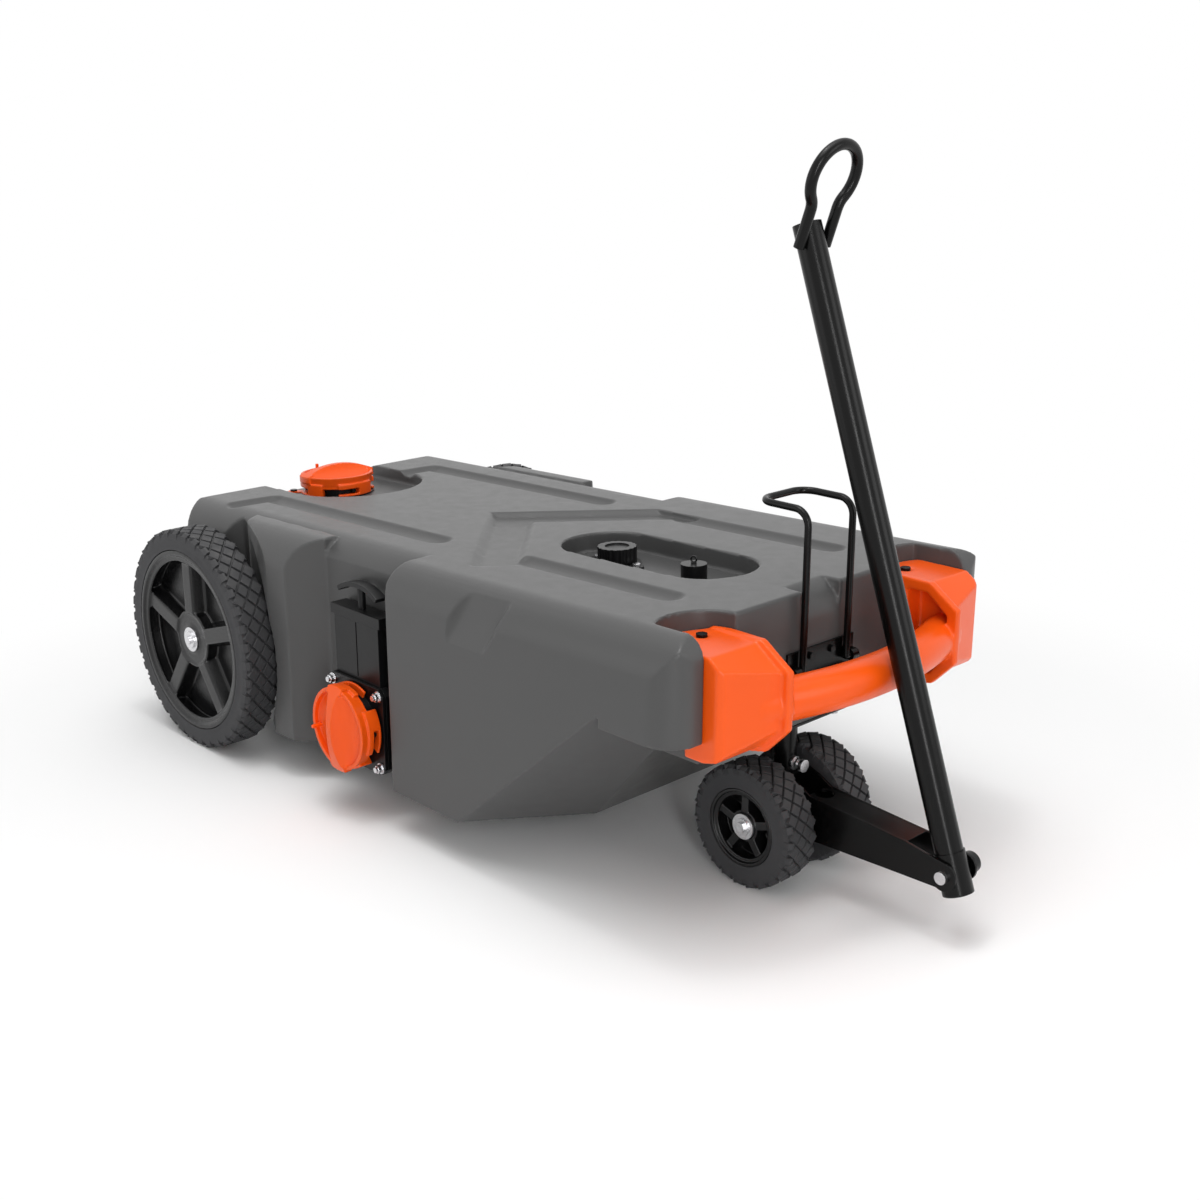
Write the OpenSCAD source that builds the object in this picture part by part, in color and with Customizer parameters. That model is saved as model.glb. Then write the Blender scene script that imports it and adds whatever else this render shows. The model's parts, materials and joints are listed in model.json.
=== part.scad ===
// Portable waste water tank on four wheels, millimetres.
// The tow end points to +X, up is +Z, and the drain valve is on the -Y side.
// The origin lies on the ground below the middle of the overall box.

/* [Tank] */
// Width over the front half of the tank
tank_w = 540; // [500:1:560]
// Width of the tank between the rear wheels
rear_w = 476; // [440:1:480]
// Width over the side pockets, where the drain valve sits
waist_w = 464; // [430:1:470]
// Distance from the rear axle back to the rear wall
rear_overhang = 137; // [120:1:148]
// Distance from the rear axle forward to the front wall
nose_x = 845; // [835:1:860]
// How far the two front horns stand in front of the front wall
horn_reach = 33; // [20:1:45]
// Height of the deck above the ground over the rear axle
deck_h = 320.7; // [310:0.1:340]
// Slope of the deck, rising to the front, in degrees
deck_tilt = 2.11; // [0:0.01:4]
// Height of the belly above the ground
belly_h = 54; // [40:1:80]
// Distance from the rear axle forward to the front of the belly
belly_x = 633; // [600:1:650]
// Wall thickness of the moulded tank
wall = 5; // [3:0.5:7]
// Radius along the long top edges
crown_r = 45; // [25:1:50]
// Depth of the pressed grooves in the deck
groove_d = 7; // [4:0.5:9]
// Width of the pressed grooves in the deck
groove_w = 36; // [24:1:44]

/* [Rear wheels] */
// Diameter of the rear tyres
rear_d = 304.8; // [290:0.1:320]
// Width of the rear tyres
rear_tyre_w = 52; // [44:1:55]
// Distance between the outer faces of the rear tyres
rear_track = 608.8; // [600:0.1:640]
// Diameter of the rear axle
rear_axle_d = 16; // [12:1:20]

/* [Front wheels] */
// Diameter of the front tyres
front_d = 146.2; // [130:0.1:150]
// Width of the front tyres
front_tyre_w = 48; // [40:1:49]
// Distance between the outer faces of the front tyres
front_track = 148; // [146:1:170]
// Distance from the rear axle to the steering pivot and front axle
wheelbase = 802; // [800:1:806]
// Diameter of the front axle
front_axle_d = 12; // [8:1:14]

/* [Towing gear] */
// Outside diameter of the tow tube
tow_d = 31; // [24:1:32]
// Length of the tow tube above its pivot
tow_len = 693; // [500:1:800]
// Backward lean of the stored tow tube, in degrees
tow_lean = 19.4; // [19:0.1:22]
// Distance from the steering pivot forward to the tow tube pivot
drawbar_len = 233; // [231:1:260]
// Height of the tow tube pivot above the ground
tow_pivot_h = 79; // [74:1:90]
// Diameter of the bent rod of the hitch loop
loop_rod_d = 12; // [8:1:14]
// Clear opening of the hitch loop, for a 50 mm ball
loop_open = 56; // [52:1:64]
// Diameter of the hitch pin hole in the drawbar
hitch_hole_d = 22; // [12:1:24]
// Thickness of the steel plates
plate_t = 3; // [2:0.5:4]

/* [Handle] */
// Outside diameter of the lifting grip
grip_d = 46; // [38:1:50]
// How far the middle of the grip bows forward
grip_bow = 22; // [10:1:26]
// Height of the grip above the ground
grip_h = 270; // [262:1:276]
// Distance between the inner faces of the two handle brackets
bracket_gap = 282; // [260:1:290]

/* [Hook] */
// Diameter of the wire of the hook
wire_d = 8; // [6:0.5:9]
// Distance between the legs of the hook, centre to centre
hook_w = 76; // [60:1:84]
// Height of the hook above the ground
hook_h = 443; // [420:1:480]
// How far the hook's top reaches back
hook_back = 70; // [50:1:90]

/* [Drain and inlet] */
// Bore of the drain and of the inlet
port_d = 76; // [60:1:78]
// Diameter of the bayonet caps
cap_d = 106; // [104:1:112]
// Height of the finger ridge above a bayonet cap's rim
cap_ridge = 13; // [8:1:15]
// Distance from the rear axle forward to the drain valve
valve_x = 334; // [320:1:345]
// Height of the drain outlet above the ground
valve_h = 117; // [112:1:130]
// Distance between the flange bolts of the drain valve
valve_bolts_w = 94; // [92:1:98]
// Thickness of the gate
gate_t = 3; // [2:0.5:4]

/* [Hidden] */
$fn = 48;

black = [0.06, 0.06, 0.065];
tank_grey = [0.37, 0.37, 0.38];
tyre_grey = [0.13, 0.13, 0.135];
orange = [1.0, 0.36, 0.13];
zinc = [0.8, 0.81, 0.82];
rubber = [0.1, 0.1, 0.1];

// Clearances: a part that turns or slides, and a part that only sits
run_gap = 0.05;
free_gap = 0.3;
// Straight runs of bent rod are this much thinner than the bends they join
join_step = 0.03;

// Places that follow from the driving sizes
rear_r = rear_d / 2;
front_r = front_d / 2;
tank_half = tank_w / 2;
rear_half = rear_w / 2;
waist_half = waist_w / 2;
horn_x = nose_x + horn_reach;
tow_x = wheelbase + drawbar_len;
tow_r = tow_d / 2;
sleeve_wall = 1.5;
sleeve_r = tow_r + sleeve_wall;
sleeve_down = 24;
front_end_x = tow_x + sleeve_down * sin(tow_lean) + sleeve_r * cos(tow_lean);
mid_x = (front_end_x - rear_r) / 2;
ramp_top_z = 198;
ramp_top_x = belly_x + (ramp_top_z - belly_h) * 0.985;
horn_bottom_z = 240;
rear_bottom_z = 140;
recess_d = 20;
pocket_d = 24;
seat_d = 25;
seat_x = 797;
seat_y = 190;
seat_r = 50;
chevron_x = 330;
chevron_w = 62;
chevron_y = 196;
chevron_far_y = 156;
dimple_x = 573;
dimple_w = 50;
horn_in = 223;
seat_out = horn_in - 1;

function deck_z(x) = deck_h + x * tan(deck_tilt);

// Moves a child so that the origin is below the middle of the overall box
module in_place() {
  translate([-mid_x, 0, 0]) children();
}

// Puts a child on the sloping deck, a depth below its surface
module on_deck(x, y, depth) {
  translate([x, y, deck_z(x)]) rotate([0, -deck_tilt, 0]) translate([0, 0, -depth]) children();
}

// Turns a child's +Z outwards along -Y (side -1) or +Y (side 1)
module outward(side) {
  rotate([side < 0 ? 90 : -90, 0, 0]) children();
}

module both_sides() {
  for (side = [-1, 1]) scale([1, side, 1]) children();
}

// A side outline in X and Z, stretched along Y
module along_y(w) {
  rotate([90, 0, 0]) linear_extrude(w, center = true) children();
}

module tube(r_out, r_in, h) {
  difference() {
    cylinder(r = r_out, h = h);
    translate([0, 0, -1]) cylinder(r = r_in, h = h + 2);
  }
}

module hex_bolt(r, len, head_r, head_h) {
  // Head above the origin, shank below it
  cylinder(r = head_r, h = head_h, $fn = 6);
  translate([0, 0, -len]) cylinder(r = r, h = len);
}

/* Tank */

// Cross-section of the tank with round top corners, hung from its top edge
module crown_section(half, r, deep) {
  difference() {
    translate([-half, -deep]) square([2 * half, deep]);
    for (side = [-1, 1]) scale([side, 1]) translate([half - r, -r]) difference() {
      square([r + 1, r + 1]);
      circle(r, $fn = 96);
    }
  }
}

module crown_prism(half, r) {
  translate([-300, 0, deck_z(-300)]) rotate([0, -deck_tilt, 0])
    rotate([90, 0, 90]) linear_extrude(1400) crown_section(half, r, 420);
}

// Side outline of the tank, with the front edge at x_front and g drawn in on every side
module side_outline(x_front, bottom_front, r_front, g) {
  x0 = -rear_overhang + g;
  x1 = x_front - g;
  r_back = 28;
  r_in = max(r_front - g, 4);
  difference() {
    polygon([
      [x0, rear_bottom_z + g], [x0, deck_z(x0) - g], [x1, deck_z(x1) - g],
      [x1, bottom_front + g], [ramp_top_x, bottom_front + g], [belly_x - 0.4 * g, belly_h + g],
      [152 + g, belly_h + g], [96 + g, rear_bottom_z + g]
    ]);
    translate([x1 - r_in, deck_z(x1) - g - r_in]) difference() {
      square([r_in + 1, r_in + 2]);
      circle(r_in, $fn = 64);
    }
    translate([x0 + r_back, deck_z(x0) - g - r_back]) difference() {
      translate([-r_back - 1, 0]) square([r_back + 1, r_back + 2]);
      circle(r_back, $fn = 64);
    }
  }
}

// Plan of one half of the tank's middle, with the notch over the axle
module narrow_plan(g) {
  h = rear_half - g;
  w = waist_half - g;
  polygon([
    [-rear_overhang + g, -1], [-rear_overhang + g, 100], [-rear_overhang + 22 + g, h - 34],
    [-rear_overhang + 40 + g, h], [1 + g, h], [22, h - 21], [40, h - 17], [62, w],
    [nose_x, w], [nose_x, -1]
  ]);
}

// Plan of one half of the tank's wide parts: the column and the front half
module wide_plan(g, x_end) {
  h = tank_half - g;
  w = waist_half - g;
  corner = 34;
  difference() {
    union() {
      polygon([[50, w - 20], [66, w + 6], [156 + g, h], [200 - g, h], [200 - g + h - w, w], [200 + h - w, w - 20]]);
      polygon([
        [408 + g, w - 20], [408 + g, h - 7], [414 + g, h],
        [x_end - g, h], [x_end - g, w - 200], [450, w - 200]
      ]);
    }
    translate([x_end - g - corner, h - corner]) difference() {
      square(corner + 1);
      circle(corner);
    }
  }
}

// Half-space outside the slanting bow facet on the +Y side
module bow_side(g) {
  translate([546, 261, belly_h])
    rotate([0, 0, 35.3])
      rotate([0, 133.7, 0])
        translate([-600, -600, -g]) cube([1200, 1200, 500]);
}

module lower_limits(g) {
  difference() {
    union() {
      translate([-200, -300, 0]) cube([ramp_top_x + 200, 600, 500]);
      translate([0, -300, horn_bottom_z + g]) cube([1000, 600, 300]);
      translate([0, -waist_half + 40 + g, 0]) cube([nose_x, 2 * (waist_half - 40 - g), 500]);
    }
    intersection() {
      both_sides() bow_side(g);
      translate([300, -300, -10]) cube([ramp_top_x - 300, 600, 600]);
    }
  }
}

module tank_form(g) {
  intersection() {
    union() {
      intersection() {
        crown_prism(rear_half - g, crown_r - g);
        along_y(600) side_outline(nose_x, ramp_top_z, 36, g);
        linear_extrude(600) both_halves() narrow_plan(g);
      }
      intersection() {
        crown_prism(tank_half - g, crown_r - g);
        along_y(600) side_outline(horn_x, ramp_top_z, 26, g);
        linear_extrude(600) both_halves() wide_plan(g, horn_x);
      }
    }
    lower_limits(g);
  }
}

module both_halves() {
  children();
  mirror([0, 1]) children();
}

// A pressed groove of round section, from one deck point to another
module groove(p, q, g) {
  half = groove_w / 2;
  r = (half * half + groove_d * groove_d) / (2 * groove_d) + g;
  len = norm(q - p);
  turn = atan2(q[1] - p[1], q[0] - p[0]);
  on_deck(p[0], p[1], groove_d - r + g) rotate([0, 0, turn]) {
    rotate([0, 90, 0]) cylinder(r = r, h = len);
    sphere(r);
    translate([len, 0, 0]) sphere(r);
  }
}

// One arm of the wide chevron channel, with sloping walls, from the middle of the deck outwards
module chevron_arm(side, len, g) {
  top = chevron_w / 2 + g;
  foot = top - 1.4 * (groove_d + g);
  on_deck(chevron_x, 0, groove_d + g) rotate([0, 0, side * 45]) translate([-chevron_w / 2, 0, 0])
    rotate([90, 0, 90]) linear_extrude(len + chevron_w / 2)
      polygon([[-foot, 0], [foot, 0], [top, groove_d + g], [top, 60], [-top, 60], [-top, groove_d + g]]);
}

module deck_grooves(g) {
  for (side = [-1, 1]) {
    groove([-22, side * 142], [355, side * 142], g);
    groove([-22, side * 142], [-28, side * 142 - 52], g);
    groove([512, side * 139], [748, side * 139], g);
    reach = side > 0 ? chevron_far_y : chevron_y;
    intersection() {
      chevron_arm(side, 250, g);
      translate([chevron_x - 60 - g, side > 0 ? 0 : -reach - g, 0]) cube([400, reach + g, 600]);
    }
  }
}

// Round-ended pocket for the vent and rinse fittings
module deck_pocket(g) {
  on_deck(532, -16, pocket_d + g) linear_extrude(80) {
    circle(60 + g, $fn = 96);
    translate([0, -60 - g]) square([158, 120 + 2 * g]);
    translate([158, 0]) circle(60 + g, $fn = 96);
  }
}

// Recess for the inlet, open to the rear
module inlet_recess(g) {
  on_deck(-24, 0, recess_d + g) linear_extrude(80) {
    circle(98 + g, $fn = 96);
    translate([-200, -98 - g]) square([200, 196 + 2 * g]);
  }
}

// Seats for the two handle brackets
module bracket_seats(g) {
  both_sides() intersection() {
    on_deck(seat_x + seat_r, seat_y, seat_d + g) cylinder(r = seat_r + g, h = 100, $fn = 96);
    cube([1200, seat_out + g, 600]);
  }
  both_sides() translate([nose_x - g, -1, 0]) cube([200, horn_in + 1 + g, 600]);
}

// Arches that clear the rear wheels
module wheel_arches(g) {
  both_sides() translate([0, rear_half + 3 - g, rear_r]) rotate([-90, 0, 0])
    cylinder(r = rear_r + 15 + g, h = 100, $fn = 128);
}

// Slanting finger dimples in the top edges
module edge_dimples(g) {
  half = dimple_w / 2;
  both_sides() translate([dimple_x, tank_half - 9, deck_z(dimple_x) - 40]) rotate([-73, 0, 0])
    rotate([0, 0, 24]) {
      translate([-half, -70, -g]) cube([dimple_w, 140, 60]);
      for (x = [-half, half]) translate([x, -70, 10]) rotate([-90, 0, 0]) cylinder(r = 10 + g, h = 140);
    }
}

// Channel across the underside that holds the rear axle
module axle_channel(g) {
  r = rear_axle_d / 2 + 0.2 + g;
  rotate([90, 0, 0]) translate([0, rear_r, 0]) cylinder(r = r, h = 700, center = true);
  translate([-r, -350, 0]) cube([2 * r, 700, rear_r]);
}

module tank_cuts(g) {
  deck_grooves(g);
  deck_pocket(g);
  inlet_recess(g);
  bracket_seats(g);
  wheel_arches(g);
  edge_dimples(g);
  axle_channel(g);
}

inlet_x = -70;
vent_x = 543;
rinse_x = 670;
deck_fit_y = -16;
spud_r = port_d / 2 + 4;
vent_bore_r = 14;
rinse_bore_r = 7;

module tank_ports() {
  on_deck(inlet_x, 0, 60) cylinder(r = spud_r + free_gap, h = 80);
  on_deck(vent_x, deck_fit_y, 60) cylinder(r = vent_bore_r + 3 + free_gap, h = 80);
  on_deck(rinse_x, deck_fit_y, 60) cylinder(r = rinse_bore_r + 3 + free_gap, h = 80);
  translate([valve_x, -waist_half + 30, valve_h]) outward(-1) cylinder(r = spud_r + free_gap, h = 60);
  both_sides() on_deck(screw_x, screw_y, 60) cylinder(r = 3.2, h = 60);
}

module tank_shell() color(tank_grey) in_place() difference() {
  tank_form(0);
  tank_cuts(0);
  difference() {
    tank_form(wall);
    tank_cuts(wall);
  }
  tank_ports();
}

/* Handle */

bracket_in = bracket_gap / 2;
flange_t = 10;
grip_r = grip_d / 2;
bracket_top_z = 335;
bracket_low_z = 211;
bracket_front_x = 926;
screw_x = 829;
screw_y = 175;
screw_depth = seat_d - 4;

// Eight-sided outline of a handle bracket in X and Z, drawn in by g
module bracket_outline(g) {
  polygon([
    [seat_x + 4, bracket_top_z - 3 - 0.4 * g], [seat_x + 24, bracket_top_z - 0.4 * g],
    [888 - 0.7 * g, bracket_top_z - 0.4 * g], [bracket_front_x - g, 309 - 0.4 * g],
    [bracket_front_x - g, 246 + 0.4 * g], [897 - 0.4 * g, bracket_low_z + 5 + g],
    [876, bracket_low_z + g], [nose_x, bracket_low_z + g], [nose_x, 290], [seat_x + 4, 290]
  ]);
}

// Hollow in the bracket's inner face, around the end of the grip
module bracket_hollow() {
  polygon([
    [858, 322], [884, 322], [912, 300], [912, 252], [892, 227], [858, 227]
  ]);
}

module handle_bracket() {
  front_slope = 14;
  difference() {
    union() {
      translate([0, bracket_in + flange_t, 0]) rotate([90, 0, 0]) linear_extrude(flange_t) bracket_outline(0);
      difference() {
        translate([0, horn_in - free_gap, 0]) rotate([90, 0, 0])
          linear_extrude(horn_in - free_gap - bracket_in - flange_t) bracket_outline(7);
        translate([bracket_front_x - 9, bracket_in + flange_t, 0]) rotate([0, 0, front_slope])
          translate([0, -40, 0]) cube([100, 200, 500]);
        translate([900, horn_in - 5, 0]) rotate([0, 0, 50]) translate([0, -40, 0]) cube([60, 90, 500]);
      }
    }
    // Behind the front wall the tongue stays clear of the seat's outer wall
    translate([nose_x - 300, seat_out - free_gap, 200]) cube([300 + free_gap, 40, 200]);
    // The tank's horn stands under the tongue and behind the bracket
    on_deck(seat_x - 20, 0, 200 + seat_d) cube([nose_x - seat_x + 20 + 2, 300, 200]);
    translate([nose_x - 300, 0, 0]) cube([300, 300, 290]);
    translate([0, bracket_in + 26, 0]) rotate([90, 0, 0]) linear_extrude(40) bracket_hollow();
    on_deck(screw_x, screw_y, 60) cylinder(r = 3.3, h = 80);
    on_deck(screw_x, screw_y, screw_depth) cylinder(r = 9, h = 40);
    // The tongue's rear end is round, as its seat is
    difference() {
      translate([seat_x - 60, 0, 200]) cube([60 + seat_r, 300, 300]);
      on_deck(seat_x + seat_r, seat_y, 100) cylinder(r = seat_r - 1.2, h = 200, $fn = 96);
    }
  }
}

module front_handle() color(orange) in_place() {
  bow_r = (bracket_in * bracket_in + grip_bow * grip_bow) / (2 * grip_bow);
  end_angle = asin((bracket_in + 24) / bow_r);
  grip_x = bracket_front_x - 4;
  both_sides() handle_bracket();
  translate([grip_x - bow_r, 0, grip_h]) rotate([0, 0, -end_angle])
    rotate_extrude(angle = 2 * end_angle, $fn = 256) translate([bow_r, 0]) circle(grip_r);
}

module handle_screws() color(black) in_place() both_sides() on_deck(screw_x, screw_y, screw_depth) {
  cylinder(r = 6, h = 4);
  translate([0, 0, -14]) cylinder(r = 3, h = 14);
}

/* Hook */

hook_x = nose_x + 8;
hook_pin_z = 264;
wire_r = wire_d / 2;
knuckle_out = hook_w / 2 + 16;
knuckle_in = hook_w / 2 + 6;

module hook_bracket() color(black) in_place() {
  half = knuckle_out + 3;
  back_t = 2.5;
  difference() {
    union() {
      translate([nose_x, -half, 246]) cube([back_t, 2 * half, 40]);
      translate([nose_x, -half, 246]) cube([20, 2 * half, back_t]);
      both_sides() translate([hook_x, knuckle_in, hook_pin_z]) outward(1) cylinder(r = wire_r + 2.5, h = 10);
      both_sides() translate([nose_x, knuckle_in, hook_pin_z - wire_r - 2.5]) cube([8, 10, 2 * wire_r + 5]);
    }
    both_sides() translate([hook_x, knuckle_in - 5, hook_pin_z]) outward(1) cylinder(r = wire_r + run_gap, h = 30);
    for (y = [-18, 18]) translate([nose_x - 1, y, 276]) rotate([0, 90, 0]) cylinder(r = 2.6, h = 10);
  }
}

module hook_bracket_bolts() color(zinc) in_place() for (y = [-18, 18])
  translate([nose_x + 2.5, y, 276]) rotate([0, 90, 0]) hex_bolt(2.5, 2.5, 4.5, 3);

module hook_wire() color(black) in_place() {
  bend = 18;
  corner = 20;
  half = hook_w / 2;
  arm = hook_back - bend - corner;
  straight_r = wire_r - join_step;
  both_sides() {
    translate([hook_x, half, hook_pin_z]) sphere(wire_r + join_step, $fn = 24);
    translate([hook_x, half, hook_pin_z]) outward(1) cylinder(r = wire_r, h = knuckle_out - half - 1, $fn = 24);
    translate([hook_x, half, hook_pin_z]) cylinder(r = straight_r, h = hook_h - bend - hook_pin_z, $fn = 24);
    // Bend at the top, from upright to backwards
    translate([hook_x - bend, half, hook_h - bend]) rotate([90, 0, 0])
      rotate_extrude(angle = 90) translate([bend, 0]) circle(wire_r, $fn = 24);
    translate([hook_x - bend, half, hook_h]) rotate([0, -90, 0]) cylinder(r = straight_r, h = arm, $fn = 24);
    translate([hook_x - bend - arm, half - corner, hook_h]) rotate([0, 0, 90])
      rotate_extrude(angle = 90) translate([corner, 0]) circle(wire_r, $fn = 24);
  }
  translate([hook_x - hook_back, -half + corner, hook_h]) outward(1)
    cylinder(r = straight_r, h = hook_w - 2 * corner, $fn = 24);
}

/* Rear axle */

// The hub is set back, so that its axle cap ends level with the tyre's face
rear_hub_in = 8;
hub_out = rear_track / 2 - rear_hub_in;

module rear_axle() color(zinc) in_place() translate([0, 0, rear_r]) rotate([90, 0, 0])
  cylinder(r = rear_axle_d / 2, h = 2 * hub_out + 6, center = true);

saddle_ys = [-150, 150];
module axle_saddles() color(black) in_place() for (y = saddle_ys) translate([0, y, 0]) difference() {
  union() {
    translate([-36, -12, rear_bottom_z - plate_t]) cube([72, 24, plate_t]);
    translate([-rear_axle_d / 2, -12, rear_bottom_z]) cube([rear_axle_d, 24, rear_r - rear_bottom_z]);
  }
  translate([0, 0, rear_r]) rotate([90, 0, 0]) cylinder(r = rear_axle_d / 2, h = 40, center = true);
  for (x = [-26, 26]) translate([x, 0, 100]) cylinder(r = 3.2, h = 60);
}

module saddle_screws() color(zinc) in_place() for (y = saddle_ys, x = [-26, 26])
  translate([x, y, rear_bottom_z - plate_t]) rotate([180, 0, 0]) hex_bolt(3, plate_t, 5.5, 4);

module rear_axle_caps() color(zinc) in_place() for (side = [-1, 1])
  translate([0, side * hub_out, rear_r]) outward(side) difference() {
    union() {
      translate([0, 0, free_gap]) cylinder(r = 17, h = 2);
      translate([0, 0, free_gap]) cylinder(r = 12, h = 4.5);
      translate([0, 0, free_gap]) cylinder(r = 6, h = 7);
    }
    translate([0, 0, -1]) cylinder(r = rear_axle_d / 2, h = 5);
  }

/* Steering mount */

kingpin_r = 9;
plate_w = 110;
plate_l = 66;

module kingpin_mount() color(black) in_place() {
  top = ramp_top_z;
  difference() {
    union() {
      translate([wheelbase - 24, -plate_w / 2, top - plate_t]) cube([plate_l, plate_w, plate_t]);
      translate([wheelbase, 0, 112]) cylinder(r = kingpin_r, h = top - 112);
    }
    // Groove that the lock bolt runs in
    translate([wheelbase, 0, 130]) tube(kingpin_r + 1, kingpin_r - 2, 10);
    for (x = [wheelbase - 14, wheelbase + 32], y = [-44, 44]) translate([x, y, top - 10]) cylinder(r = 4.2, h = 20);
  }
}

module kingpin_mount_bolts() color(zinc) in_place()
  for (x = [wheelbase - 14, wheelbase + 32], y = [-44, 44])
    translate([x, y, ramp_top_z - plate_t]) rotate([180, 0, 0]) hex_bolt(4, plate_t, 6.5, 5);

/* Wheels */

// Tyre section: a rounded block from the bead radius out to the tread
module tyre_section(r_out, r_bead, w, r_edge) {
  difference() {
    translate([r_bead, -w]) square([r_out - r_bead, w]);
    for (z = [-r_edge, -w + r_edge]) translate([r_out - r_edge, z]) difference() {
      translate([0, z > -w / 2 ? 0 : -r_edge - 1]) square([r_edge + 1, r_edge + 1]);
      circle(r_edge);
    }
  }
}

module tyre(r_out, r_bead, w, r_edge) {
  difference() {
    rotate_extrude($fn = 128) tyre_section(r_out, r_bead, w, r_edge);
    for (z = [-w * 0.36, -w * 0.64]) translate([0, 0, z - 1]) tube(r_out + 1, r_out - 3, 2);
  }
}

// One spoke with sloping flanks, lying along +X
module spoke(r_from, r_to, w_top, w_base, z_top, z_base) {
  translate([r_from, 0, 0]) rotate([90, 0, 90]) linear_extrude(r_to - r_from)
    polygon([[-w_base / 2, z_base], [w_base / 2, z_base], [w_top / 2, z_top], [-w_top / 2, z_top]]);
}

// Five-spoked hub that runs on two bushes, its outer face at z = 0
web_t = 3;
module hub(r_rim, w, r_disc, r_bush, spoke_w, rim_t, face_in) {
  spokes = 5;
  difference() {
    union() {
      translate([0, 0, -w]) tube(r_rim, r_rim - rim_t, w);
      translate([0, 0, -8]) tube(r_rim, r_rim - 2.2 * rim_t, 5);
      translate([0, 0, -w * 0.66]) cylinder(r = r_disc, h = w * 0.66 - face_in);
      translate([0, 0, -w]) cylinder(r = r_bush + 7, h = w - face_in);
      for (i = [0 : spokes - 1]) rotate([0, 0, 90 + i * 360 / spokes])
        spoke(r_disc - 3, r_rim - rim_t + 0.5, spoke_w * 0.62, spoke_w, -w * 0.14, -w * 0.62);
      // Web that closes the windows between the spokes
      translate([0, 0, -w * 0.62 + 1]) cylinder(r = r_rim - rim_t + 0.4, h = web_t);
    }
    translate([0, 0, -w - 1]) cylinder(r = r_bush, h = w + 2);
    translate([0, 0, -face_in - 1]) tube(r_disc - 4, r_disc * 0.5, 4);
  }
}

module bushes(r_bush, r_axle, w, face_in) {
  h = 14;
  for (z = [-w, -face_in - h]) translate([0, 0, z]) tube(r_bush, r_axle + run_gap, h);
}

rear_bead_r = rear_r - 27.4;
rear_bush_r = rear_axle_d / 2 + 4;
rear_hub_w = rear_tyre_w - 6;
module rear_wheel_place(side) {
  in_place() translate([0, side * rear_track / 2, rear_r]) outward(side) children();
}

module rear_hub(side) color(black) rear_wheel_place(side)
  hub(rear_bead_r, rear_hub_w, 40, rear_bush_r, 34, 7, rear_hub_in);
module rear_tyre(side) color(tyre_grey) rear_wheel_place(side) tyre(rear_r, rear_bead_r, rear_tyre_w, 10);
module rear_bush(side) color(rubber) rear_wheel_place(side) bushes(rear_bush_r, rear_axle_d / 2, rear_hub_w, rear_hub_in);

module rear_hub_right() rear_hub(-1);
module rear_hub_left() rear_hub(1);
module rear_tyre_right() rear_tyre(-1);
module rear_tyre_left() rear_tyre(1);
module rear_bushes_right() rear_bush(-1);
module rear_bushes_left() rear_bush(1);

front_bead_r = front_r - 27.1;
front_bush_r = front_axle_d / 2 + 3;
front_hub_w = front_tyre_w - 2;
front_hub_in = 7;
module front_wheel_place(side) {
  in_place() translate([wheelbase, side * front_track / 2, front_r]) outward(side) children();
}

module front_hub(side) color(black) front_wheel_place(side)
  hub(front_bead_r, front_hub_w, 19, front_bush_r, 16, 4, front_hub_in);
module front_tyre(side) color(tyre_grey) front_wheel_place(side) tyre(front_r, front_bead_r, front_tyre_w, 9);
module front_bush(side) color(rubber) front_wheel_place(side) bushes(front_bush_r, front_axle_d / 2, front_hub_w, front_hub_in);

module front_hub_right() front_hub(-1);
module front_hub_left() front_hub(1);
module front_tyre_right() front_tyre(-1);
module front_tyre_left() front_tyre(1);
module front_bushes_right() front_bush(-1);
module front_bushes_left() front_bush(1);

/* Drawbar */

plate_in = sleeve_r + free_gap;
plate_out = plate_in + plate_t;
head_r = kingpin_r + 4.5;
head_top_z = ramp_top_z - plate_t - free_gap;
end_r = 16;

module cheek_outline() {
  difference() {
    union() {
      polygon([
        [wheelbase - 18, 52], [wheelbase - 18, 126], [wheelbase + 19, 128], [wheelbase + 36, 122],
        [wheelbase + 55, 112], [tow_x - 48, 103], [tow_x, tow_pivot_h + end_r],
        [tow_x + 2, tow_pivot_h - end_r + 2], [wheelbase + 155, 63], [wheelbase + 58, 60], [wheelbase + 20, 52]
      ]);
      translate([tow_x, tow_pivot_h]) circle(end_r);
    }
    translate([wheelbase, front_r]) circle(front_axle_d / 2 + 0.1);
    translate([tow_x, tow_pivot_h]) circle(5.1);
  }
}

module drawbar() color(black) in_place() difference() {
  union() {
    both_sides() translate([0, plate_out, 0]) rotate([90, 0, 0]) linear_extrude(plate_t) cheek_outline();
    // Top plate between the cheeks
    translate([wheelbase + 50, -plate_in, 112 - plate_t]) rotate([0, 3.9, 0])
      cube([drawbar_len - 98, 2 * plate_in, plate_t]);
    // Head plate and steering sleeve
    translate([wheelbase - 18, -plate_in, 122]) cube([36, 2 * plate_in, plate_t]);
    translate([wheelbase, 0, 116]) cylinder(r = head_r, h = head_top_z - 116);
  }
  translate([wheelbase, 0, 100]) cylinder(r = kingpin_r + run_gap, h = 200);
  translate([wheelbase + 59, 0, 80]) cylinder(r = hitch_hole_d / 2, h = 60);
  translate([wheelbase, 0, 135]) rotate([0, 90, 0]) cylinder(r = 4, h = 40);
}

module kingpin_lock_bolt() color(zinc) in_place() translate([wheelbase + head_r, 0, 135]) rotate([0, 90, 0]) {
  translate([0, 0, -5.5]) cylinder(r = 3.9, h = 6);
  cylinder(r = 8, h = 3);
  translate([0, 0, 3]) cylinder(r = 6.5, h = 4, $fn = 6);
  translate([0, 0, 7]) cylinder(r = 4, h = 4);
  translate([0, 0, 11]) cylinder(r = 7.5, h = 5);
}

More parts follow.
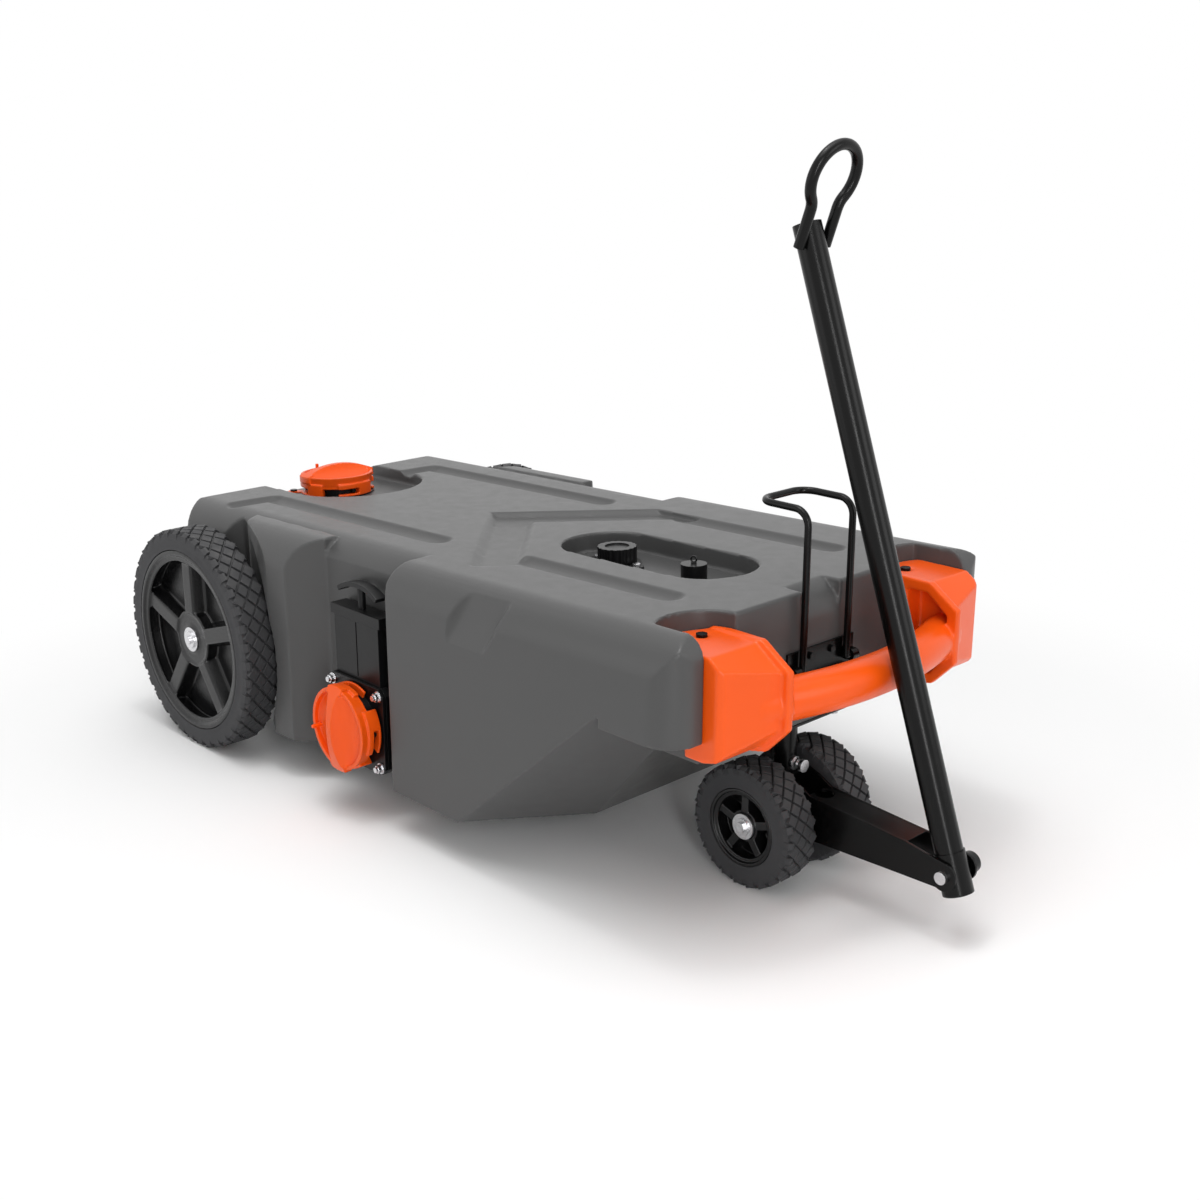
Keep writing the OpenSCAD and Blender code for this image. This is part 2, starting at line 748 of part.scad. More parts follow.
module front_axle() color(zinc) in_place() translate([wheelbase, 0, front_r]) rotate([90, 0, 0]) {
  cylinder(r = front_axle_d / 2, h = front_track - 2 * front_hub_in + 2, center = true);
}

module front_axle_caps() color(zinc) in_place() for (side = [-1, 1])
  translate([wheelbase, side * (front_track / 2 - front_hub_in), front_r]) outward(side) difference() {
    union() {
      translate([0, 0, free_gap]) cylinder(r = 15, h = 3);
      translate([0, 0, free_gap]) cylinder(r = 10, h = 5);
      translate([0, 0, free_gap]) cylinder(r = 6.5, h = 8, $fn = 6);
    }
    translate([0, 0, -1]) cylinder(r = front_axle_d / 2, h = 2);
  }

module tow_pivot_bolt() color(zinc) in_place() translate([tow_x, 0, tow_pivot_h]) rotate([90, 0, 0]) {
  translate([0, 0, -plate_out - 2]) cylinder(r = 5, h = 2 * plate_out + 2);
  translate([0, 0, plate_out]) cylinder(r = 7, h = 5);
}

module tow_pivot_knob() color(black) in_place() translate([tow_x, plate_out, tow_pivot_h]) outward(1) difference() {
  union() {
    cylinder(r = 8, h = 5);
    translate([0, 0, 5]) cylinder(r = 12, h = 8);
  }
  translate([0, 0, -1]) cylinder(r = 5, h = 3);
}

/* Tow tube */

// Places a child on the tow tube, its +Z along the tube from the pivot
module on_tow() {
  in_place() translate([tow_x, 0, tow_pivot_h]) rotate([0, -tow_lean, 0]) children();
}

module tow_tube() color(black) on_tow() difference() {
  translate([0, 0, -sleeve_down]) cylinder(r = tow_r, h = tow_len + sleeve_down);
  translate([0, 0, -sleeve_down - 1]) cylinder(r = tow_r - 2, h = tow_len + sleeve_down - 3);
  rotate([90, 0, 0]) cylinder(r = 5 + run_gap, h = 60, center = true);
}

module tow_sleeve() color(black) on_tow() difference() {
  translate([0, 0, -sleeve_down]) tube(sleeve_r, tow_r, 46);
  rotate([90, 0, 0]) cylinder(r = 5 + run_gap, h = 60, center = true);
}

module hitch_loop() color(black) on_tow() {
  rod = loop_rod_d / 2;
  leg_y = tow_r + rod;
  ring_r = loop_open / 2 + rod;
  neck_bend = 20;
  leg = 40;
  bend_y = leg_y + neck_bend;
  up = sqrt((ring_r + neck_bend) * (ring_r + neck_bend) - bend_y * bend_y);
  bend_angle = atan2(up, bend_y);
  // The loop leans forward of the tube, so that it lies flatter on the ball when towing
  translate([0, 0, tow_len - 24]) rotate([0, 2 * tow_lean, 0]) {
    both_sides() {
      translate([0, leg_y, 0]) cylinder(r = rod - 2 * join_step, h = leg + 0.5, $fn = 24);
      translate([0, bend_y, leg]) rotate([90, 0, 90]) rotate([0, 0, 180 - bend_angle])
        rotate_extrude(angle = bend_angle, $fn = 64) translate([neck_bend, 0]) circle(rod - join_step, $fn = 24);
      translate([0, bend_y - neck_bend * cos(bend_angle), leg + neck_bend * sin(bend_angle)])
        sphere(rod + join_step, $fn = 24);
    }
    translate([0, 0, leg + up]) rotate([90, 0, 90]) rotate([0, 0, -bend_angle])
      rotate_extrude(angle = 180 + 2 * bend_angle, $fn = 64) translate([ring_r, 0]) circle(rod, $fn = 24);
  }
}

/* Bayonet ports and caps, built along +Z from their seat */

neck_h = 16;
neck_r = port_d / 2 + 5;
lug_z = 9;
lug_r = 3.2;
lug_reach = 49;
cap_seat_z = 18;
cap_floor_z = 22;
cap_rim_z = 30;
cap_r = cap_d / 2;
crest_w = 10;
ridge_half = 14;

module bayonet_neck() {
  difference() {
    union() {
      cylinder(r = neck_r, h = neck_h);
      for (i = [0 : 3]) rotate([0, 0, i * 90]) translate([0, 0, lug_z]) rotate([0, 90, 0])
        cylinder(r = lug_r, h = lug_reach);
    }
    translate([0, 0, -1]) cylinder(r = port_d / 2, h = neck_h + 2);
  }
}

// Cup-shaped cap with an arched finger ridge across it and four claws that turn behind the lugs
module bayonet_cap() {
  ridge_end = cap_r + 3;
  arch_r = (ridge_end * ridge_end + cap_ridge * cap_ridge) / (2 * cap_ridge);
  crest_z = cap_rim_z + cap_ridge;
  scoop_r = 32;
  scoop_z = cap_floor_z + scoop_r;
  scoop_y = crest_w / 2 + sqrt(scoop_r * scoop_r - (scoop_z - crest_z) * (scoop_z - crest_z));
  pocket_r = cap_r - 5;
  skirt_in = neck_r + 0.6;
  claw_in = skirt_in + 0.3;
  claw_from = -28;
  claw_arc = 64;
  slot_from = -31;
  slot_arc = 38;
  difference() {
    union() {
      translate([0, 0, cap_seat_z]) cylinder(r1 = cap_r - 2, r2 = cap_r, h = cap_rim_z - cap_seat_z);
      intersection() {
        translate([-ridge_end, -ridge_half, cap_seat_z + 3]) cube([2 * ridge_end, 2 * ridge_half, crest_z]);
        translate([0, 0, crest_z - arch_r]) rotate([90, 0, 0]) cylinder(r = arch_r, h = cap_d, center = true);
        cylinder(r = ridge_end, h = 2 * crest_z);
      }
      translate([0, 0, 13]) tube(cap_r - 2.3, skirt_in, cap_seat_z - 12);
      for (i = [0 : 3]) rotate([0, 0, claw_from + i * 90]) translate([0, 0, 2])
        rotate_extrude(angle = claw_arc, $fn = 96) translate([claw_in, 0]) square([cap_r + 1 - claw_in, cap_seat_z]);
    }
    // Finger pockets on both sides of the ridge
    for (side = [-1, 1]) intersection() {
      translate([0, side * scoop_y, scoop_z]) rotate([0, 90, 0])
        cylinder(r = scoop_r, h = 2 * cap_d, center = true, $fn = 96);
      cylinder(r = pocket_r, h = 2 * crest_z, $fn = 128);
    }
    // Slots that the lugs turn into
    for (i = [0 : 3]) rotate([0, 0, slot_from + i * 90]) translate([0, 0, lug_z - lug_r - 0.6])
      rotate_extrude(angle = slot_arc, $fn = 96) translate([skirt_in - 2, 0]) square([cap_r, 2 * lug_r + 1.2]);
  }
  // Peg beside the rim
  translate([-8, pocket_r - 4, cap_floor_z - 1.5]) cylinder(r = 2.5, h = 17);
}

module cap_gasket() {
  translate([0, 0, neck_h + free_gap]) tube(neck_r, port_d / 2 + 1, cap_seat_z - neck_h - free_gap);
}

/* Drain valve, built outwards from the pocket wall */

spud_t = 3;
seal_t = 1;
body_t = 9;
stack_spud = spud_t;
stack_rear = stack_spud + seal_t;
stack_gate = stack_rear + body_t;
stack_front = stack_gate + gate_t + 2 * run_gap;
stack_seal = stack_front + body_t;
stack_flange = stack_seal + seal_t;
flange_w = valve_bolts_w + 18;
flange_plate_t = 4;
housing_w = 90;
housing_top = 132;
gland_t = 13;

module on_valve(out) {
  in_place() translate([valve_x, -waist_half, valve_h]) outward(-1) translate([0, 0, out]) children();
}

module at_valve_bolts() {
  for (x = [-1, 1], y = [-1, 1]) translate([x * valve_bolts_w / 2, y * valve_bolts_w / 2, 0]) children();
}

module flange_plate(t) {
  difference() {
    translate([-flange_w / 2, -flange_w / 2, 0]) cube([flange_w, flange_w, t]);
    translate([0, 0, -1]) cylinder(r = port_d / 2, h = t + 2);
    at_valve_bolts() translate([0, 0, -1]) cylinder(r = 4.2, h = t + 2);
    for (x = [-1, 1], y = [-1, 1]) translate([x * flange_w / 2, y * flange_w / 2, -1])
      rotate([0, 0, 45]) cube([12, 12, 2 * t + 20], center = true);
  }
}

module drain_spud() color(black) on_valve(0) {
  flange_plate(spud_t);
  translate([0, 0, -wall - 14]) tube(spud_r, port_d / 2, wall + 14);
}

module valve_seals() color(rubber) {
  on_valve(stack_spud) tube(port_d / 2 + 7, port_d / 2, seal_t);
  on_valve(stack_seal) tube(port_d / 2 + 7, port_d / 2, seal_t);
}

// One half of the gate housing
module valve_half() {
  difference() {
    union() {
      flange_plate(body_t);
      translate([-housing_w / 2, 40, 0]) cube([housing_w, housing_top - 40, body_t]);
    }
    translate([0, 0, -1]) cylinder(r = port_d / 2, h = body_t + 2);
    at_valve_bolts() translate([0, 0, -1]) cylinder(r = 4.2, h = body_t + 2);
  }
}

// Channel for the stem of the pull handle, at a height above the half's back
module stem_channel(z) {
  translate([0, port_d / 2 - 4, z]) rotate([-90, 0, 0]) cylinder(r = 5 + run_gap, h = housing_top);
}

module valve_body_rear() color(black) on_valve(stack_rear) difference() {
  valve_half();
  stem_channel(body_t + run_gap + gate_t / 2);
}

module valve_body_front() color(black) on_valve(stack_front) difference() {
  union() {
    valve_half();
    // Side walls that close the gap round the gate
    for (side = [-1, 1]) translate([side * (housing_w / 2 - 1.5) - 1.5, -flange_w / 2 + 14, -gate_t - 2 * run_gap])
      cube([3, housing_top + flange_w / 2 - 14, gate_t + 2 * run_gap]);
    translate([-housing_w / 2, -flange_w / 2 + 9, -gate_t - 2 * run_gap]) cube([housing_w, 5, gate_t + 2 * run_gap]);
  }
  stem_channel(-run_gap - gate_t / 2);
  at_valve_bolts() translate([0, 0, -10]) cylinder(r = 4.2, h = body_t + 11);
  // Seam rib recess down the middle of the housing
  translate([-1, flange_w / 2 + 4, body_t - 1.5]) cube([2, housing_top - flange_w / 2 - 6, 4]);
}

module valve_gland() color(black) on_valve(stack_rear - 1.5) difference() {
  w = housing_w + 10;
  t = 2 * body_t + gate_t + 3;
  translate([-w / 2, housing_top, 0]) cube([w, gland_t, t]);
  translate([0, housing_top - 1, body_t + 1.5 + run_gap + gate_t / 2]) rotate([-90, 0, 0])
    cylinder(r = 5 + run_gap, h = gland_t + 2);
}

module drain_bayonet() color(black) on_valve(stack_flange) {
  flange_plate(flange_plate_t);
  translate([0, 0, flange_plate_t]) bayonet_neck();
}

module valve_bolts() color(zinc) on_valve(stack_flange + flange_plate_t) at_valve_bolts() {
  cylinder(r = 7, h = 1.5);
  translate([0, 0, 1.5]) cylinder(r = 5.5, h = 5, $fn = 6);
  translate([0, 0, 6.5]) cylinder(r = 3.5, h = 3);
  translate([0, 0, -stack_flange - flange_plate_t]) cylinder(r = 3.9, h = stack_flange + flange_plate_t);
}

gate_y = stack_gate + run_gap;
module gate_blade() color(zinc) on_valve(gate_y) {
  w = port_d + 4;
  translate([-w / 2, 0, 0]) cube([w, port_d / 2 + 3, gate_t]);
  cylinder(r = w / 2, h = gate_t);
}

module pull_handle() color(black) on_valve(gate_y + gate_t / 2) {
  bar_w = 82;
  bar_r = 76;
  span = 2 * asin(bar_w / 2 / bar_r);
  stem_low = port_d / 2 + 3;
  stem_top = housing_top + gland_t + 34;
  translate([0, stem_low, 0]) rotate([-90, 0, 0]) cylinder(r = 5, h = stem_top - stem_low - 4);
  translate([0, stem_top - bar_r, -8]) rotate([0, 0, 90 - span / 2])
    rotate_extrude(angle = span, $fn = 256) translate([bar_r - 6, 0]) square([6, 16]);
}

drain_seat = stack_flange + flange_plate_t;
module drain_cap() color(orange) on_valve(drain_seat) rotate([0, 0, 90]) bayonet_cap();
module drain_cap_gasket() color(rubber) on_valve(drain_seat) cap_gasket();

/* Inlet */

module on_inlet() {
  in_place() on_deck(inlet_x, 0, recess_d) children();
}

strap_t = 1.6;
inlet_flange_r = 53;
inlet_turn = 85;
module inlet_neck() color(black) on_inlet() rotate([0, 0, inlet_turn]) {
  tube(inlet_flange_r, port_d / 2, 2);
  bayonet_neck();
  translate([0, 0, -wall - 12]) tube(spud_r, port_d / 2, wall + 12);
}

strap_turn = 222;
strap_screw_r = 67;
module inlet_strap() color(orange) on_inlet() rotate([0, 0, strap_turn]) difference() {
  translate([inlet_flange_r + free_gap, -6, 0]) cube([22, 12, strap_t]);
  translate([strap_screw_r, 0, -1]) cylinder(r = 2.6, h = 5);
}

module inlet_strap_screw() color(black) on_inlet() rotate([0, 0, strap_turn])
  translate([strap_screw_r, 0, strap_t]) {
    cylinder(r = 5, h = 2.5);
    translate([0, 0, -strap_t]) cylinder(r = 2.5, h = strap_t);
  }

module inlet_cap() color(orange) on_inlet() rotate([0, 0, inlet_turn]) bayonet_cap();
module inlet_cap_gasket() color(rubber) on_inlet() cap_gasket();

/* Vent and rinse fittings */

module on_pocket(x) {
  in_place() on_deck(x, deck_fit_y, pocket_d) children();
}

module vent_spud() color(black) on_pocket(vent_x) {
  difference() {
    union() {
      linear_extrude(3) {
        circle(29);
        translate([-33, -9]) square([66, 18]);
        for (x = [-33, 33]) translate([x, 0]) circle(9);
      }
      cylinder(r = 19, h = 16);
      translate([0, 0, -wall - 6]) cylinder(r = vent_bore_r + 3, h = wall + 6);
    }
    translate([0, 0, -wall - 8]) cylinder(r = vent_bore_r, h = 60);
    for (x = [-33, 33]) translate([x, 0, -1]) cylinder(r = 3.2, h = 6);
  }
}

module vent_bolts() color(zinc) on_pocket(vent_x) for (x = [-33, 33]) translate([x, 0, 3]) {
  cylinder(r = 4.8, h = 3);
  translate([0, 0, -3]) cylinder(r = 3, h = 3);
}

// Fluted screw cap
module vent_cap() color(black) on_pocket(vent_x) translate([0, 0, 3 + free_gap]) {
  flutes = 18;
  difference() {
    cylinder(r = 24, h = 19.5);
    translate([0, 0, -1]) cylinder(r = 19 + free_gap, h = 14);
    translate([0, 0, 17.5]) cylinder(r = 15, h = 4);
    for (i = [0 : flutes - 1]) rotate([0, 0, i * 360 / flutes]) translate([26.2, 0, -1]) cylinder(r = 3.4, h = 24);
  }
}

module rinse_spud() color(black) on_pocket(rinse_x) difference() {
  union() {
    cylinder(r = 14, h = 3);
    cylinder(r = 11, h = 16);
    translate([0, 0, -wall - 6]) cylinder(r = rinse_bore_r + 3, h = wall + 6);
  }
  translate([0, 0, -wall - 8]) cylinder(r = rinse_bore_r, h = 60);
}

module rinse_cap() color(black) on_pocket(rinse_x) translate([0, 0, 3 + free_gap]) {
  difference() {
    cylinder(r = 15.5, h = 19);
    translate([0, 0, -1]) cylinder(r = 11 + free_gap, h = 14);
  }
  translate([0, 0, 19]) cylinder(r = 3.5, h = 1.5);
  translate([0, 0, 24]) rotate([90, 0, 20]) rotate_extrude() translate([3.4, 0]) circle(1.1, $fn = 16);
  translate([0, 0, 20]) cylinder(r = 1.4, h = 1.2);
}

tank_shell();
front_handle();
handle_screws();
hook_bracket();
hook_bracket_bolts();
rear_axle();
axle_saddles();
saddle_screws();
rear_axle_caps();
kingpin_mount();
kingpin_mount_bolts();
drain_spud();
valve_seals();
valve_body_rear();
valve_body_front();
valve_gland();
drain_bayonet();
valve_bolts();
inlet_neck();
inlet_strap();
inlet_strap_screw();
vent_spud();
vent_bolts();
rinse_spud();
rear_hub_right();
rear_tyre_right();
rear_bushes_right();
rear_hub_left();
rear_tyre_left();
rear_bushes_left();
drawbar();
kingpin_lock_bolt();
front_axle();
front_axle_caps();
tow_pivot_bolt();
tow_pivot_knob();
front_hub_right();
front_tyre_right();
front_bushes_right();
front_hub_left();
front_tyre_left();
front_bushes_left();
tow_tube();
tow_sleeve();
hitch_loop();
hook_wire();
gate_blade();
pull_handle();
drain_cap();
drain_cap_gasket();
inlet_cap();
inlet_cap_gasket();
vent_cap();
rinse_cap();
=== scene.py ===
import math

import bmesh
import bpy
import numpy as np
from mathutils import Matrix, Vector
from mathutils.bvhtree import BVHTree
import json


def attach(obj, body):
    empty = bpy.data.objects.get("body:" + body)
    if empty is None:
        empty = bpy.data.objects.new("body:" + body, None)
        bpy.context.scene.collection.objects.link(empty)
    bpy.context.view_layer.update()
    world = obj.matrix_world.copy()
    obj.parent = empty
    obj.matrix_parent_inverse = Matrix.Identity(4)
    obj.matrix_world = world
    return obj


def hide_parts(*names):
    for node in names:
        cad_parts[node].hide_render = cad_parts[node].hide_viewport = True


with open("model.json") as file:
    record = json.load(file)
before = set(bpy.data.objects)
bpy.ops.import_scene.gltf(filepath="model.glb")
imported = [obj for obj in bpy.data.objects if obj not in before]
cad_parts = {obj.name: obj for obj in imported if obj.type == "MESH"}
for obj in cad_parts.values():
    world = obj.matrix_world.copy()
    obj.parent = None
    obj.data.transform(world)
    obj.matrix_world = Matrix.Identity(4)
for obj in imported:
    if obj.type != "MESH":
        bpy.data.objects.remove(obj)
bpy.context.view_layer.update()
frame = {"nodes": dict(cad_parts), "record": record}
NODES = frame["nodes"]
BODY_OF = {n: b for b, ns in frame["record"]["behaviour"]["bodies"].items() for n in ns}
# The CAD source counts X from the rear axle, this far behind the middle of the box
MID_X = 0.453303
scene = bpy.context.scene


def srgb(r, g, b):
    """Linear colour from 0..255 display values."""
    def lin(v):
        v /= 255
        return v / 12.92 if v <= 0.04045 else ((v + 0.055) / 1.055) ** 2.4
    return (lin(r), lin(g), lin(b), 1)


# Shader groups

def new_group(name, ins, outs):
    g = bpy.data.node_groups.new(name, "ShaderNodeTree")
    for kind, label, value in ins:
        s = g.interface.new_socket(name=label, in_out="INPUT", socket_type=kind)
        s.default_value = value
    for kind, label in outs:
        g.interface.new_socket(name=label, in_out="OUTPUT", socket_type=kind)
    gi = g.nodes.new("NodeGroupInput")
    go = g.nodes.new("NodeGroupOutput")
    return g, gi, go


def node(tree, kind, **values):
    n = tree.nodes.new(kind)
    for k, v in values.items():
        if k.startswith("i_"):
            n.inputs[int(k[2:])].default_value = v
        else:
            setattr(n, k, v)
    return n


def make_surface_group():
    """Mottled tint, fine grain and scuffs from object coordinates."""
    g, gi, go = new_group(
        "surface_wear",
        [("NodeSocketFloat", "Grain scale", 900.0), ("NodeSocketFloat", "Grain depth", 0.2),
         ("NodeSocketFloat", "Mottle", 0.1), ("NodeSocketFloat", "Roughness", 0.5),
         ("NodeSocketFloat", "Edge radius", 0.001), ("NodeSocketColor", "Colour", (0.5, 0.5, 0.5, 1)),
         ("NodeSocketFloat", "Dust", 0.1)],
        [("NodeSocketColor", "Colour"), ("NodeSocketFloat", "Roughness"), ("NodeSocketVector", "Normal")])
    link = g.links.new
    co = node(g, "ShaderNodeTexCoord")
    big = node(g, "ShaderNodeTexNoise", i_2=9.0, i_3=4.0)
    fine = node(g, "ShaderNodeTexNoise", i_3=2.0)
    scuff = node(g, "ShaderNodeTexNoise", i_2=60.0, i_3=6.0)
    for t in (big, fine, scuff):
        link(co.outputs["Object"], t.inputs["Vector"])
    link(gi.outputs["Grain scale"], fine.inputs["Scale"])
    # Tint: the colour lightened and darkened a little by the large noise
    mot = node(g, "ShaderNodeMapRange", i_1=0.3, i_2=0.7)
    link(big.outputs["Fac"], mot.inputs["Value"])
    low = node(g, "ShaderNodeMath", operation="SUBTRACT", i_0=1.0)
    high = node(g, "ShaderNodeMath", operation="ADD", i_0=1.0)
    link(gi.outputs["Mottle"], low.inputs[1])
    link(gi.outputs["Mottle"], high.inputs[1])
    link(low.outputs[0], mot.inputs["To Min"])
    link(high.outputs[0], mot.inputs["To Max"])
    tint = node(g, "ShaderNodeVectorMath", operation="SCALE")
    link(gi.outputs["Colour"], tint.inputs[0])
    link(mot.outputs["Result"], tint.inputs["Scale"])
    # Dust gathers on faces that look up
    geo = node(g, "ShaderNodeNewGeometry")
    sep = node(g, "ShaderNodeSeparateXYZ")
    link(geo.outputs["Normal"], sep.inputs[0])
    up = node(g, "ShaderNodeMapRange", i_1=0.3, i_2=1.0)
    link(sep.outputs["Z"], up.inputs["Value"])
    sc = node(g, "ShaderNodeMapRange", i_1=0.35, i_2=0.75)
    link(scuff.outputs["Fac"], sc.inputs["Value"])
    dm = node(g, "ShaderNodeMath", operation="MULTIPLY")
    link(up.outputs["Result"], dm.inputs[0])
    link(sc.outputs["Result"], dm.inputs[1])
    dd = node(g, "ShaderNodeMath", operation="MULTIPLY")
    link(dm.outputs[0], dd.inputs[0])
    link(gi.outputs["Dust"], dd.inputs[1])
    mix = node(g, "ShaderNodeMix", data_type="RGBA")
    mix.inputs[7].default_value = (0.42, 0.41, 0.39, 1)
    link(dd.outputs[0], mix.inputs[0])
    link(tint.outputs[0], mix.inputs[6])
    link(mix.outputs[2], go.inputs["Colour"])
    # Roughness varies with the scuffs
    rv = node(g, "ShaderNodeMapRange", i_1=0.3, i_2=0.7, i_3=-0.02, i_4=0.03)
    link(scuff.outputs["Fac"], rv.inputs["Value"])
    ra = node(g, "ShaderNodeMath", operation="ADD", use_clamp=True)
    link(gi.outputs["Roughness"], ra.inputs[0])
    link(rv.outputs["Result"], ra.inputs[1])
    link(ra.outputs[0], go.inputs["Roughness"])
    # Rounded edges and grain
    bev = node(g, "ShaderNodeBevel", samples=6)
    link(gi.outputs["Edge radius"], bev.inputs["Radius"])
    bump = node(g, "ShaderNodeBump")
    bump.inputs["Distance"].default_value = 0.0006
    link(gi.outputs["Grain depth"], bump.inputs["Strength"])
    link(fine.outputs["Fac"], bump.inputs["Height"])
    link(bev.outputs[0], bump.inputs["Normal"])
    link(bump.outputs[0], go.inputs["Normal"])
    return g


SURFACE = make_surface_group()


def material(name, colour, rough, grain=0.15, scale=900.0, mottle=0.05, edge=0.0008, dust=0.05,
             metallic=0.0, spec=0.5):
    m = bpy.data.materials.new(name)
    m.use_nodes = True
    t = m.node_tree
    p = t.nodes["Principled BSDF"]
    gnode = t.nodes.new("ShaderNodeGroup")
    gnode.node_tree = SURFACE
    for key, v in (("Grain scale", scale), ("Grain depth", grain), ("Mottle", mottle), ("Roughness", rough),
                   ("Edge radius", edge), ("Colour", colour), ("Dust", dust)):
        gnode.inputs[key].default_value = v
    t.links.new(gnode.outputs["Colour"], p.inputs["Base Color"])
    t.links.new(gnode.outputs["Roughness"], p.inputs["Roughness"])
    t.links.new(gnode.outputs["Normal"], p.inputs["Normal"])
    p.inputs["Metallic"].default_value = metallic
    p.inputs["Specular IOR Level"].default_value = spec
    m.diffuse_color = colour
    return m


M_TANK = material("tank_grey_plastic", srgb(76, 76, 76), 0.32,
                  grain=0.2, scale=1400, mottle=0.008, edge=0.0015, dust=0.0, spec=0.28)
M_ORANGE = material("orange_plastic", srgb(238, 86, 12), 0.3,
                    grain=0.12, scale=1500, mottle=0.02, edge=0.001, dust=0.0, spec=0.3)
M_BLACK = material("black_plastic", srgb(14, 14, 15), 0.3,
                   grain=0.12, scale=1800, mottle=0.1, edge=0.0008, dust=0.02, spec=0.25)
M_HUB = material("black_hub_plastic", srgb(13, 13, 14), 0.24,
                 grain=0.2, scale=1500, mottle=0.08, edge=0.001, dust=0.0, spec=0.4)
M_STEEL = material("black_powder_coat", srgb(6, 6, 6), 0.24,
                   grain=0.08, scale=1100, mottle=0.05, edge=0.0008, dust=0.0, spec=0.2)
M_ZINC = material("bright_zinc", srgb(212, 212, 214), 0.26,
                  grain=0.1, scale=700, mottle=0.08, edge=0.0005, dust=0.0, metallic=1.0)
M_TYRE = material("tyre_rubber", srgb(48, 48, 50), 0.72,
                  grain=0.3, scale=1300, mottle=0.1, edge=0.0006, dust=0.12)
M_SEAL = material("seal_rubber", srgb(20, 20, 20), 0.6,
                  grain=0.1, scale=1300, mottle=0.05, edge=0.0003, dust=0.0)
SLOT_MATERIAL = {"grey_tank": M_TANK, "orange": M_ORANGE, "black_plastic": M_BLACK, "black_steel": M_STEEL,
                 "zinc": M_ZINC, "tread": M_TYRE, "seal": M_SEAL}
for sp in frame["record"]["subparts"]:
    ob = NODES[sp["node"]]
    ob.data.materials.clear()
    mat = M_HUB if "hub" in sp["node"] else SLOT_MATERIAL[sp["material_slot"]]
    ob.data.materials.append(mat)


# Pieces

def smooth_by_angle(me, degrees):
    me.shade_smooth()
    me.set_sharp_from_angle(angle=math.radians(degrees))


for ob in NODES.values():
    smooth_by_angle(ob.data, 32)


def place(ob, body, mat, *nodes):
    """Material, body and the CAD nodes that the piece stands for."""
    ob.data.materials.clear()
    ob.data.materials.append(mat)
    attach(ob, body)
    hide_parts(*nodes)
    return ob


def outer_only(me):
    """Keeps what can be seen from outside a hollow moulding, and closes its ports."""
    bm = bmesh.new()
    bm.from_mesh(me)
    bmesh.ops.remove_doubles(bm, verts=bm.verts, dist=0.00002)
    tree = BVHTree.FromBMesh(bm)
    rays = [Vector((x, y, z)).normalized() for x in (-1, 0, 1) for y in (-1, 0, 1) for z in (-1, 0, 1)
            if x or y or z]
    inner = []
    for f in bm.faces:
        start = f.calc_center_median() + f.normal * 0.001
        free = sum(tree.ray_cast(start, r)[0] is None for r in rays)
        if free <= 1:
            inner.append(f)
    bmesh.ops.delete(bm, geom=inner, context="FACES")
    edge = [e for e in bm.edges if len(e.link_faces) == 1]
    bmesh.ops.holes_fill(bm, edges=edge, sides=0)
    bmesh.ops.triangulate(bm, faces=bm.faces)
    left = [e for e in bm.edges if len(e.link_faces) != 2]
    print("outer faces", len(bm.faces), "removed", len(inner), "open edges", len(left))
    bm.to_mesh(me)
    bm.free()


def moulded(name, mat, voxel, rounds, hollow=False, keep=1.0):
    """The CAD form with its edges rounded as a moulding's are: remeshed and smoothed."""
    me = NODES[name].data.copy()
    if hollow:
        outer_only(me)
    ob = bpy.data.objects.new(name + "_moulded", me)
    scene.collection.objects.link(ob)
    rm = ob.modifiers.new("remesh", "REMESH")
    rm.mode = "VOXEL"
    rm.voxel_size = voxel * 1.0
    sm = ob.modifiers.new("smooth", "SMOOTH")
    sm.factor = 0.5
    sm.iterations = rounds
    if keep < 1:
        dec = ob.modifiers.new("decimate", "DECIMATE")
        dec.ratio = keep
    bpy.context.view_layer.update()
    dg = bpy.context.evaluated_depsgraph_get()
    out = bpy.data.meshes.new_from_object(ob.evaluated_get(dg))
    ob.modifiers.clear()
    ob.data = out
    ob.data.shade_smooth()
    return place(ob, BODY_OF[name], mat, name)


def mesh_object(name, verts, faces, mat=None, smooth=None):
    me = bpy.data.meshes.new(name)
    me.from_pydata([tuple(v) for v in verts], [], [tuple(f) for f in faces])
    me.update()
    ob = bpy.data.objects.new(name, me)
    scene.collection.objects.link(ob)
    if mat:
        me.materials.append(mat)
    if smooth is not None:
        smooth_by_angle(me, smooth)
    return ob


def lathe(name, profile, steps, mat=None, smooth=30):
    """A closed (radius, height) outline turned about Z."""
    n = len(profile)
    verts, faces = [], []
    for i in range(steps):
        a = 2 * math.pi * i / steps
        verts += [(r * math.cos(a), r * math.sin(a), z) for r, z in profile]
    for i in range(steps):
        j = (i + 1) % steps
        for k in range(n):
            m = (k + 1) % n
            faces.append((i * n + k, j * n + k, j * n + m, i * n + m))
    return mesh_object(name, verts, faces, mat, smooth)


def join(name, objs):
    first = objs[0]
    with bpy.context.temp_override(active_object=first, object=first, selected_objects=objs,
                                   selected_editable_objects=objs):
        bpy.ops.object.join()
    first.name = name
    return first


def set_mesh_place(ob, m):
    """Moves the vertices, so that the object itself stays at the origin."""
    ob.data.transform(m)
    if m.determinant() < 0:
        ob.data.flip_normals()
    ob.data.update()


# Repeats about an axle, with geometry nodes

